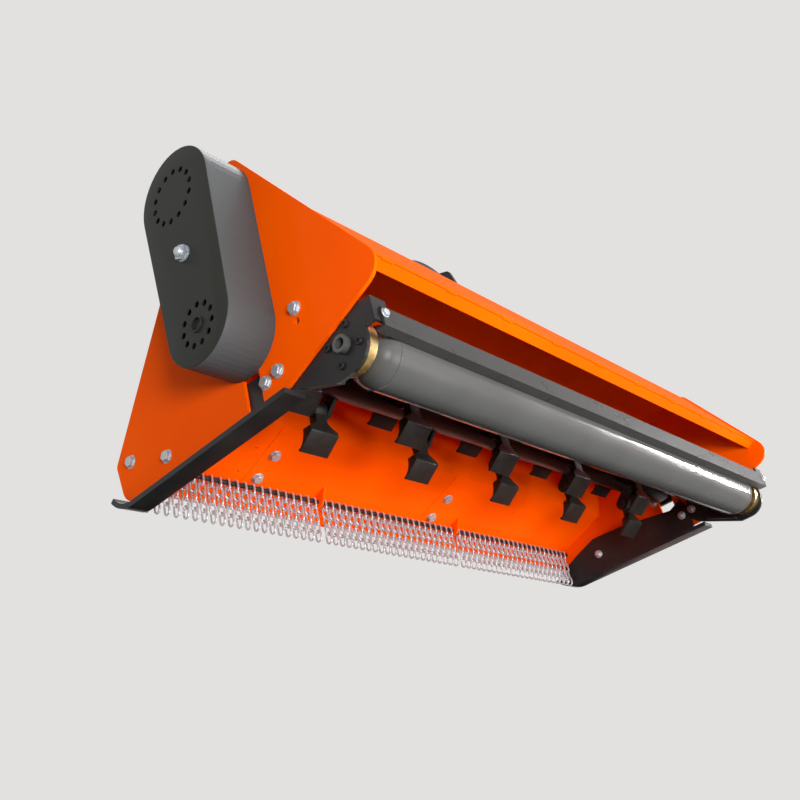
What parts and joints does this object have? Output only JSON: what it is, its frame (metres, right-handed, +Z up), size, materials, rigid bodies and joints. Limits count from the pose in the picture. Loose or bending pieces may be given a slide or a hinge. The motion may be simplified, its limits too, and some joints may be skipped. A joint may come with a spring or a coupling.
{
  "type": "flail mower",
  "caption": "Rear-mounted flail mower: welded hood with hammer rotor, side belt drive under a guard, rear roller, skids, front chain curtain and three-point hitch.",
  "frame": {"origin": "on the ground under the middle of the whole machine, which stands on its roller and its skid noses", "axes": "+X to the right seen from behind, along the rotor; +Y forward to the tractor; +Z up"},
  "size_m": [1.98, 0.8968, 0.8075],
  "materials": {
    "orange_paint": "gloss powder coat",
    "black_paint": "satin paint",
    "grey_paint": "gloss paint",
    "guard_grey": "satin paint",
    "guard_dark": "satin paint",
    "bright_zinc": "bright zinc plate",
    "yellow_zinc": "yellow passivated zinc",
    "cast_housing": "painted casting",
    "belt_rubber": "matt",
    "bare_steel": "machined",
    "forged_steel": "oiled forging"
  },
  "bodies": {
    "frame": {"left_side_plate": "orange_paint", "right_side_plate": "orange_paint", "front_sheet": "orange_paint", "roof_sheet": "orange_paint", "rear_sheet": "orange_paint", "rear_rail": "orange_paint", "left_skid": "black_paint", "right_skid": "black_paint", "body_bolts": "bright_zinc", "guard_band": "guard_grey", "guard_face": "guard_dark", "guard_nut": "bright_zinc", "left_roller_bracket": "black_paint", "right_roller_bracket": "black_paint", "roller_bearings": "yellow_zinc", "scraper": "grey_paint", "chain_rod": "black_paint", "rod_gussets": "orange_paint", "rotor_bearings": "cast_housing", "v_belts": "belt_rubber", "gearbox_housing": "cast_housing", "gearbox_plate": "black_paint", "cross_tube": "black_paint", "left_mast_plate": "black_paint", "right_mast_plate": "black_paint", "top_link_bracket": "black_paint", "left_lower_hitch": "black_paint", "right_lower_hitch": "black_paint"},
    "rotor": {"rotor": "black_paint", "rotor_lugs": "black_paint", "hammer_bolts": "bright_zinc", "lower_pulley": "cast_housing"},
    "cross_shaft": {"cross_shaft": "bare_steel", "upper_pulley": "cast_housing"},
    "input_shaft": {"input_shaft": "bare_steel"},
    "roller": {"roller": "grey_paint"},
    "chain_left": {"chain_left": "bright_zinc"},
    "chain_middle": {"chain_middle": "bright_zinc"},
    "chain_right": {"chain_right": "bright_zinc"},
    "hammer_01": {"hammer_01": "forged_steel"},
    "hammer_02": {"hammer_02": "forged_steel"},
    "hammer_03": {"hammer_03": "forged_steel"},
    "hammer_04": {"hammer_04": "forged_steel"},
    "hammer_05": {"hammer_05": "forged_steel"},
    "hammer_06": {"hammer_06": "forged_steel"},
    "hammer_07": {"hammer_07": "forged_steel"},
    "hammer_08": {"hammer_08": "forged_steel"},
    "hammer_09": {"hammer_09": "forged_steel"},
    "hammer_10": {"hammer_10": "forged_steel"},
    "hammer_11": {"hammer_11": "forged_steel"},
    "hammer_12": {"hammer_12": "forged_steel"},
    "hammer_13": {"hammer_13": "forged_steel"},
    "hammer_14": {"hammer_14": "forged_steel"},
    "hammer_15": {"hammer_15": "forged_steel"},
    "hammer_16": {"hammer_16": "forged_steel"},
    "hammer_17": {"hammer_17": "forged_steel"},
    "hammer_18": {"hammer_18": "forged_steel"},
    "hammer_19": {"hammer_19": "forged_steel"},
    "hammer_20": {"hammer_20": "forged_steel"}
  },
  "joints": [
    {"name": "rotor_spin", "type": "hinge", "parent": "frame", "child": "rotor", "pos_m": [0, -0.07815, 0.20946], "axis": [1, 0, 0], "continuous": true},
    {"name": "cross_shaft_spin", "type": "hinge", "parent": "frame", "child": "cross_shaft", "pos_m": [-0.446, -0.0377, 0.56297], "axis": [1, 0, 0], "continuous": true},
    {"name": "input_spin", "type": "hinge", "parent": "frame", "child": "input_shaft", "pos_m": [-0.15, 0.07218, 0.55786], "axis": [0, 0.9989, -0.0464], "continuous": true},
    {"name": "roller_spin", "type": "hinge", "parent": "frame", "child": "roller", "pos_m": [0, -0.33017, 0.064], "axis": [1, 0, 0], "continuous": true},
    {"name": "chain_left_swing", "type": "hinge", "parent": "frame", "child": "chain_left", "pos_m": [0, 0.3391, 0.119], "axis": [1, 0, 0], "range_deg": [-70, 15]},
    {"name": "chain_middle_swing", "type": "hinge", "parent": "frame", "child": "chain_middle", "pos_m": [0, 0.3391, 0.119], "axis": [1, 0, 0], "range_deg": [-70, 15]},
    {"name": "chain_right_swing", "type": "hinge", "parent": "frame", "child": "chain_right", "pos_m": [0, 0.3391, 0.119], "axis": [1, 0, 0], "range_deg": [-70, 15]},
    {"name": "hammer_01_swing", "type": "hinge", "parent": "rotor", "child": "hammer_01", "pos_m": [-0.7706, -0.1432, 0.14441], "axis": [1, 0, 0], "range_deg": [-172, 80]},
    {"name": "hammer_02_swing", "type": "hinge", "parent": "rotor", "child": "hammer_02", "pos_m": [-0.6838, -0.01309, 0.27452], "axis": [1, 0, 0], "range_deg": [0, 252]},
    {"name": "hammer_03_swing", "type": "hinge", "parent": "rotor", "child": "hammer_03", "pos_m": [-0.597, -0.01309, 0.14441], "axis": [1, 0, 0], "range_deg": [-82, 170]},
    {"name": "hammer_04_swing", "type": "hinge", "parent": "rotor", "child": "hammer_04", "pos_m": [-0.5102, -0.1432, 0.27452], "axis": [1, 0, 0], "range_deg": [-252, 0]},
    {"name": "hammer_05_swing", "type": "hinge", "parent": "rotor", "child": "hammer_05", "pos_m": [-0.4234, -0.1432, 0.14441], "axis": [1, 0, 0], "range_deg": [-172, 80]},
    {"name": "hammer_06_swing", "type": "hinge", "parent": "rotor", "child": "hammer_06", "pos_m": [-0.3366, -0.01309, 0.27452], "axis": [1, 0, 0], "range_deg": [0, 252]},
    {"name": "hammer_07_swing", "type": "hinge", "parent": "rotor", "child": "hammer_07", "pos_m": [-0.2498, -0.01309, 0.14441], "axis": [1, 0, 0], "range_deg": [-82, 170]},
    {"name": "hammer_08_swing", "type": "hinge", "parent": "rotor", "child": "hammer_08", "pos_m": [-0.163, -0.1432, 0.27452], "axis": [1, 0, 0], "range_deg": [-252, 0]},
    {"name": "hammer_09_swing", "type": "hinge", "parent": "rotor", "child": "hammer_09", "pos_m": [-0.0762, -0.1432, 0.14441], "axis": [1, 0, 0], "range_deg": [-172, 80]},
    {"name": "hammer_10_swing", "type": "hinge", "parent": "rotor", "child": "hammer_10", "pos_m": [0.0106, -0.01309, 0.27452], "axis": [1, 0, 0], "range_deg": [0, 252]},
    {"name": "hammer_11_swing", "type": "hinge", "parent": "rotor", "child": "hammer_11", "pos_m": [0.0974, -0.01309, 0.14441], "axis": [1, 0, 0], "range_deg": [-82, 170]},
    {"name": "hammer_12_swing", "type": "hinge", "parent": "rotor", "child": "hammer_12", "pos_m": [0.1842, -0.1432, 0.27452], "axis": [1, 0, 0], "range_deg": [-252, 0]},
    {"name": "hammer_13_swing", "type": "hinge", "parent": "rotor", "child": "hammer_13", "pos_m": [0.271, -0.1432, 0.14441], "axis": [1, 0, 0], "range_deg": [-172, 80]},
    {"name": "hammer_14_swing", "type": "hinge", "parent": "rotor", "child": "hammer_14", "pos_m": [0.3578, -0.01309, 0.27452], "axis": [1, 0, 0], "range_deg": [0, 252]},
    {"name": "hammer_15_swing", "type": "hinge", "parent": "rotor", "child": "hammer_15", "pos_m": [0.4446, -0.01309, 0.14441], "axis": [1, 0, 0], "range_deg": [-82, 170]},
    {"name": "hammer_16_swing", "type": "hinge", "parent": "rotor", "child": "hammer_16", "pos_m": [0.5314, -0.1432, 0.27452], "axis": [1, 0, 0], "range_deg": [-252, 0]},
    {"name": "hammer_17_swing", "type": "hinge", "parent": "rotor", "child": "hammer_17", "pos_m": [0.6182, -0.1432, 0.14441], "axis": [1, 0, 0], "range_deg": [-172, 80]},
    {"name": "hammer_18_swing", "type": "hinge", "parent": "rotor", "child": "hammer_18", "pos_m": [0.705, -0.01309, 0.27452], "axis": [1, 0, 0], "range_deg": [0, 252]},
    {"name": "hammer_19_swing", "type": "hinge", "parent": "rotor", "child": "hammer_19", "pos_m": [0.7918, -0.01309, 0.14441], "axis": [1, 0, 0], "range_deg": [-82, 170]},
    {"name": "hammer_20_swing", "type": "hinge", "parent": "rotor", "child": "hammer_20", "pos_m": [0.8786, -0.1432, 0.27452], "axis": [1, 0, 0], "range_deg": [-252, 0]}
  ],
  "couplings": [
    {"joint": "cross_shaft_spin", "follows": "rotor_spin", "ratio": 0.77778},
    {"joint": "input_spin", "follows": "rotor_spin", "ratio": 0.25926}
  ]
}
